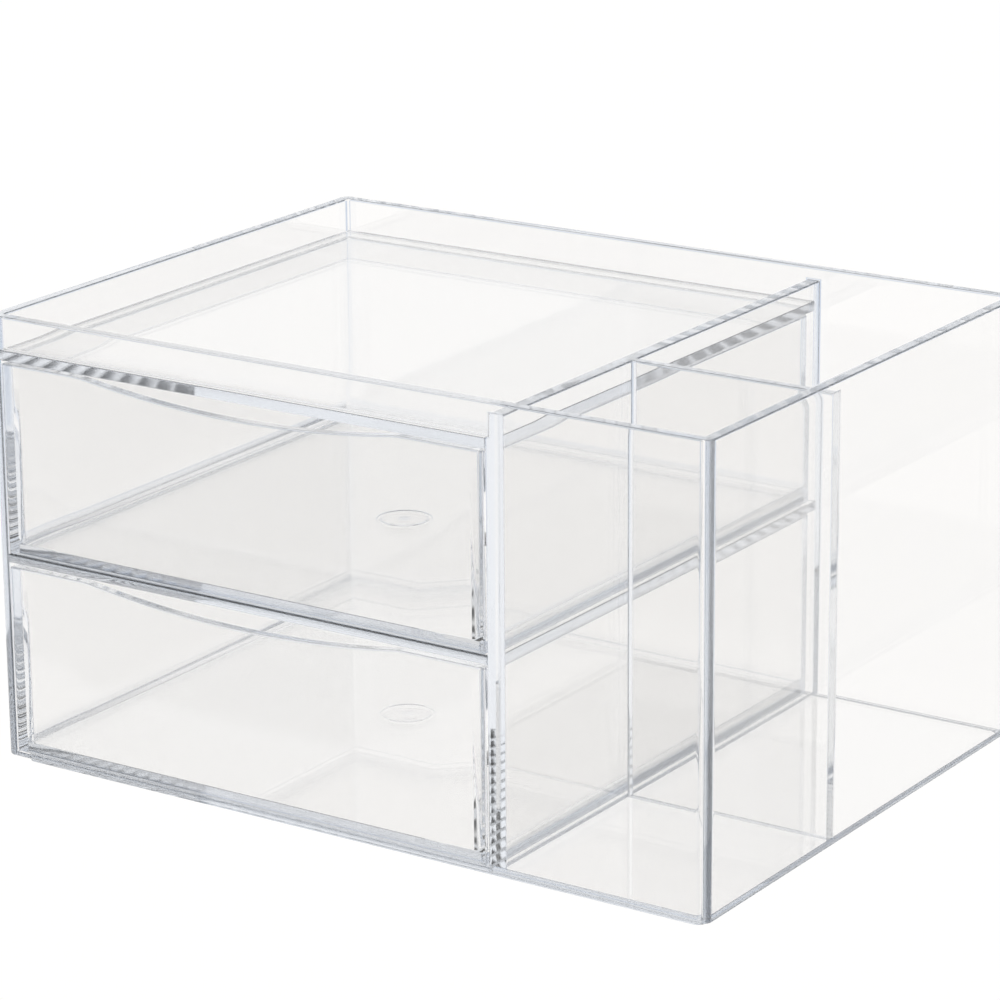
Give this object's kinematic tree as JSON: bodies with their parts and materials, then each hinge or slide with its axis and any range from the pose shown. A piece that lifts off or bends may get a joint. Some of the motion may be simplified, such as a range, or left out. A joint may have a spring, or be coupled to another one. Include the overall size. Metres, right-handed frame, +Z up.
{
  "type": "clear vanity organizer with drawers and side bin",
  "caption": "Clear plate-built vanity organizer: stacked sliding drawers under a shallow top tray, beside a full-height open bin with a cross divider.",
  "frame": {"origin": "centre of the footprint, on the surface the organizer stands on", "axes": "+Z up, +X to the right seen from the front (the open bin's side), drawers open towards -Y"},
  "size_m": [0.24, 0.175, 0.136],
  "materials": {
    "housing_clear": "clear, polished",
    "drawer_clear": "clear, polished"
  },
  "bodies": {
    "housing": {"base_plate": "housing_clear", "left_side_plate": "housing_clear", "right_side_plate": "housing_clear", "back_plate": "housing_clear", "partition_plate": "housing_clear", "deck_plate": "housing_clear", "middle_shelf": "housing_clear", "tray_front_rail": "housing_clear", "bin_front_plate": "housing_clear", "bin_divider_plate": "housing_clear"},
    "upper_drawer": {"upper_drawer_front": "drawer_clear", "upper_drawer_left_side": "drawer_clear", "upper_drawer_right_side": "drawer_clear", "upper_drawer_back": "drawer_clear", "upper_drawer_floor": "drawer_clear"},
    "lower_drawer": {"lower_drawer_front": "drawer_clear", "lower_drawer_left_side": "drawer_clear", "lower_drawer_right_side": "drawer_clear", "lower_drawer_back": "drawer_clear", "lower_drawer_floor": "drawer_clear"}
  },
  "joints": [
    {"name": "upper_drawer_slide", "type": "slide", "parent": "housing", "child": "upper_drawer", "axis": [0, -1, 0], "range_m": [0, 0.145]},
    {"name": "lower_drawer_slide", "type": "slide", "parent": "housing", "child": "lower_drawer", "axis": [0, -1, 0], "range_m": [0, 0.145]}
  ]
}
